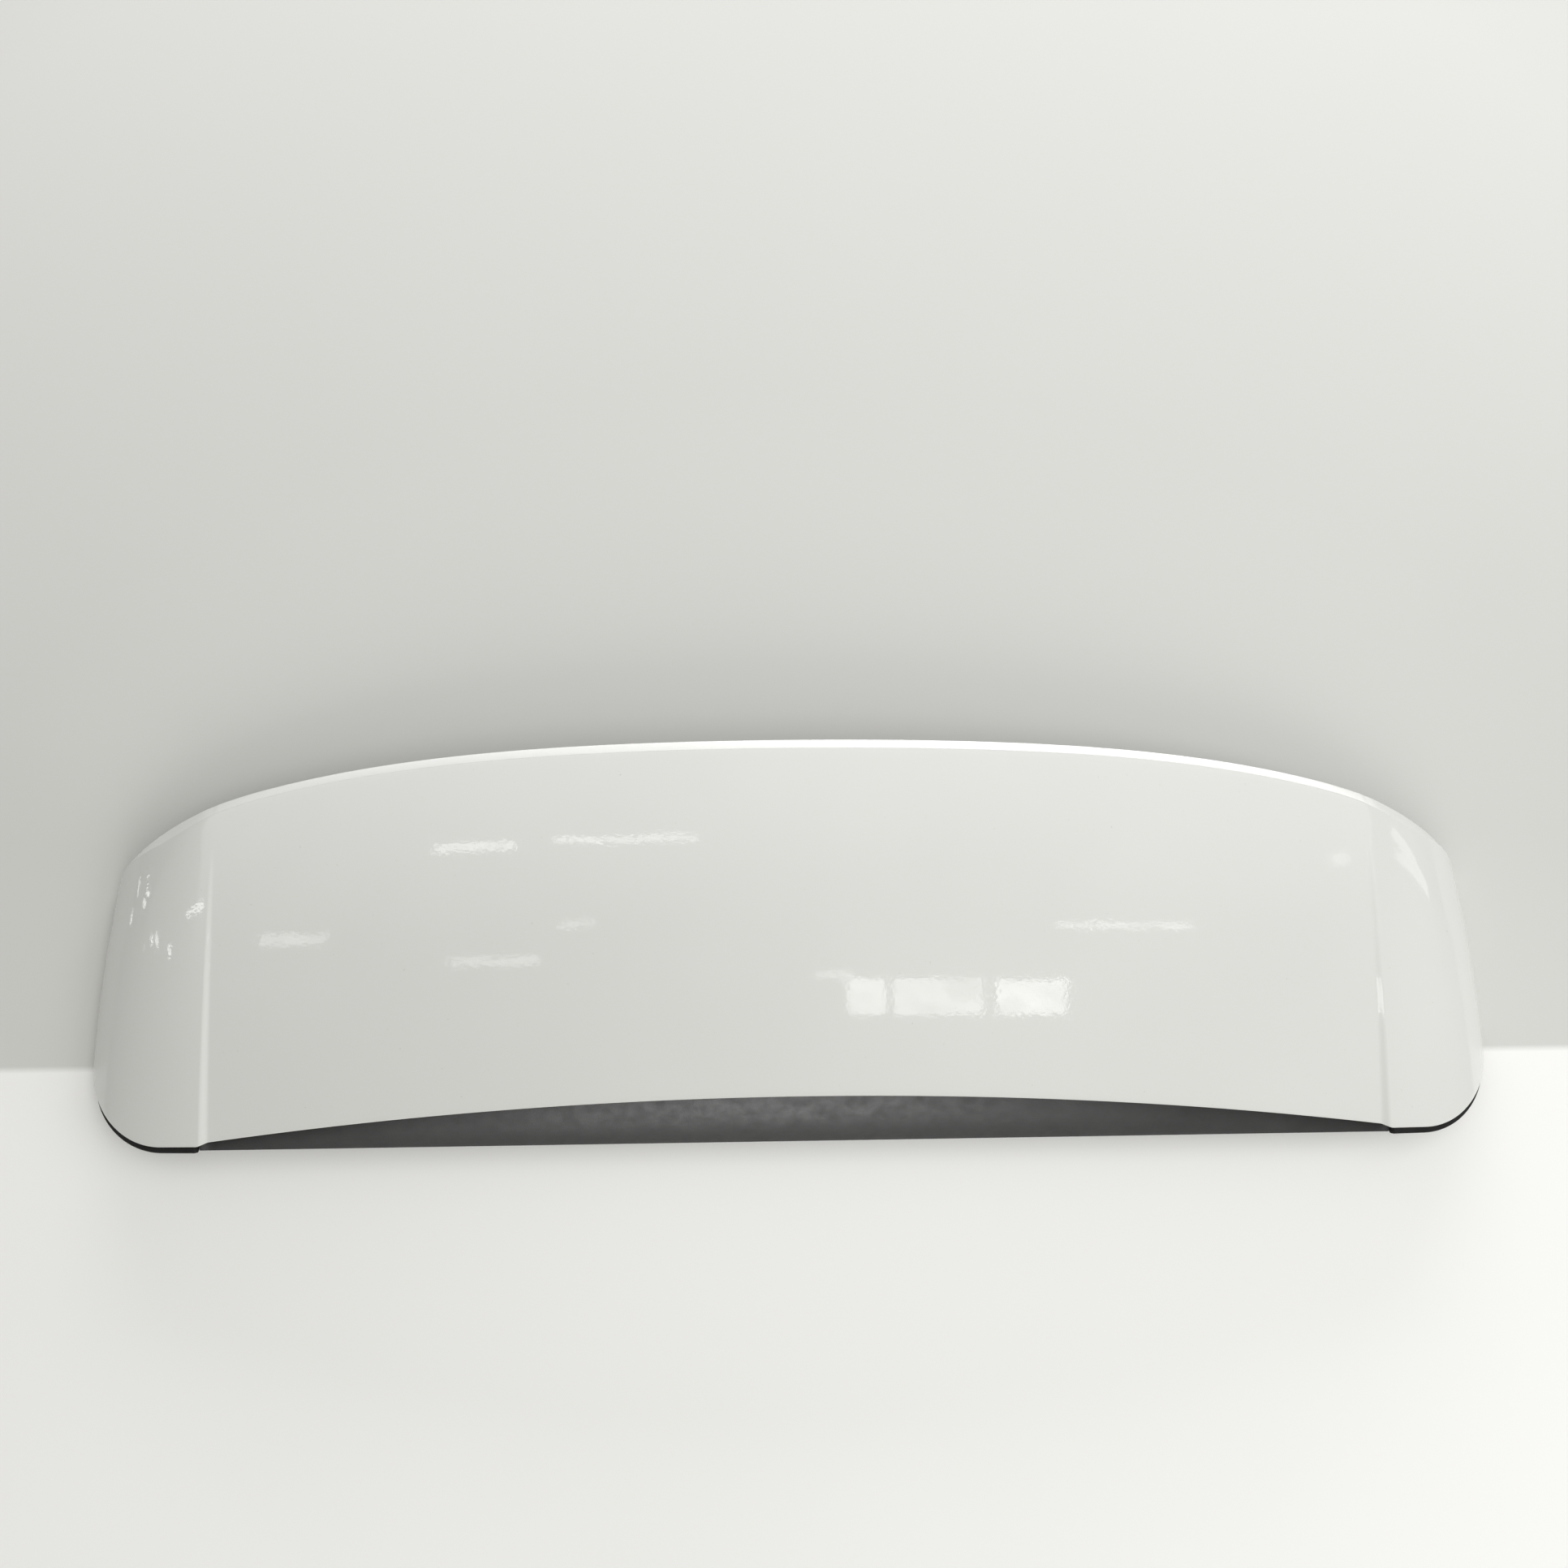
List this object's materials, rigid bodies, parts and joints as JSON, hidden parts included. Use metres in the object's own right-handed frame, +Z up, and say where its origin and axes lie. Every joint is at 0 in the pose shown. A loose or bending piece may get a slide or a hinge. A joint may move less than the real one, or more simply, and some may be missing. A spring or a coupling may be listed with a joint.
{
  "type": "tailgate spoiler",
  "caption": "Wide curved tailgate spoiler with a painted top shell, wrap-around ears, a black lower shell and downward mounting studs.",
  "frame": {"origin": "bottom centre of the part's box, on the surface that the rims of its ears lie on", "axes": "+X across the car to the right as seen looking along +Y, +Y from the leading edge to the trailing edge, +Z up"},
  "size_m": [1.2604, 0.3503, 0.11],
  "materials": {
    "paint": "high gloss white paint with clear coat",
    "black_plastic": "fine grained black moulding",
    "rubber": "matt black extrusion",
    "foam": "closed-cell foam",
    "zinc_steel": "zinc plated",
    "spring_steel": "dark phosphated spring steel"
  },
  "bodies": {
    "root": {"outer_skin": "paint", "lower_shell": "black_plastic", "ear_liner_left": "black_plastic", "ear_liner_right": "black_plastic", "ear_seal_left": "rubber", "ear_seal_right": "rubber", "land_seal": "foam", "locator_left": "black_plastic", "locator_right": "black_plastic", "stud_plate_left_outer": "black_plastic", "stud_plate_left_inner": "black_plastic", "stud_plate_right_inner": "black_plastic", "stud_plate_right_outer": "black_plastic", "stud_left_outer": "zinc_steel", "stud_left_inner": "zinc_steel", "stud_right_inner": "zinc_steel", "stud_right_outer": "zinc_steel", "stud_seal_left_outer": "foam", "stud_seal_left_inner": "foam", "stud_seal_right_inner": "foam", "stud_seal_right_outer": "foam", "ear_clip_left": "spring_steel", "ear_clip_right": "spring_steel"}
  },
  "joints": []
}
